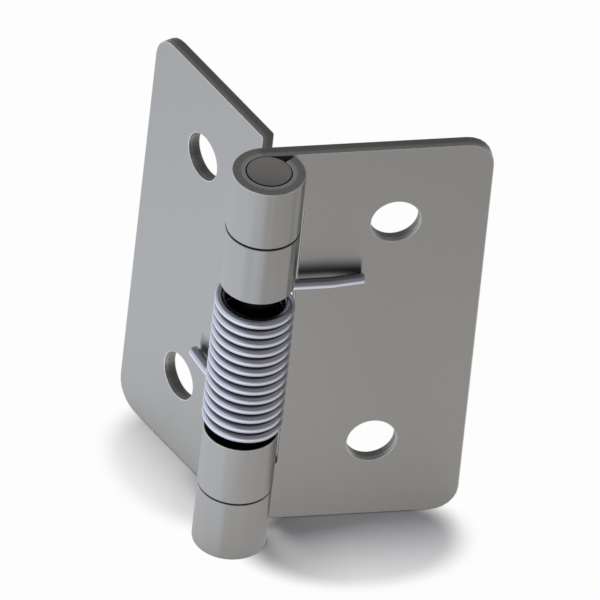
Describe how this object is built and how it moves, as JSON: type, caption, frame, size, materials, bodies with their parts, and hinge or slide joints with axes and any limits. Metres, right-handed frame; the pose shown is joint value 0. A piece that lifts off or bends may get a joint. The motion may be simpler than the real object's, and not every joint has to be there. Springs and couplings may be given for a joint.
{
  "type": "spring loaded door hinge",
  "caption": "Spring loaded butt hinge: two rolled sheet leaves on one pin, with a torsion spring between the inner knuckles that swings the leaves apart.",
  "frame": {"origin": "centre of the pin's lower end, on the hinge axis", "axes": "+Z along the pin, upwards; +X from the pin along the fixed leaf to its free edge; +Y out of the fixed leaf's back, away from the knuckles"},
  "size_m": [0.0324, 0.0289, 0.05],
  "materials": {
    "leaf_steel": "satin stainless steel sheet, sheared edges lightly broken",
    "pin_steel": "ground steel pin, slightly darker than the sheet",
    "spring_steel": "drawn stainless spring wire with a cool tint"
  },
  "bodies": {
    "fixed_side": {"fixed_leaf": "leaf_steel", "hinge_pin": "pin_steel", "torsion_spring": "spring_steel"},
    "moving_side": {"moving_leaf": "leaf_steel"}
  },
  "joints": [
    {"name": "leaf_swing", "type": "hinge", "parent": "fixed_side", "child": "moving_side", "pos_m": [0, 0, 0.025], "axis": [0, 0, 1], "range_deg": [-23, 247], "stiffness_Nm_per_rad": 0.074, "deforming": ["torsion_spring"]}
  ]
}
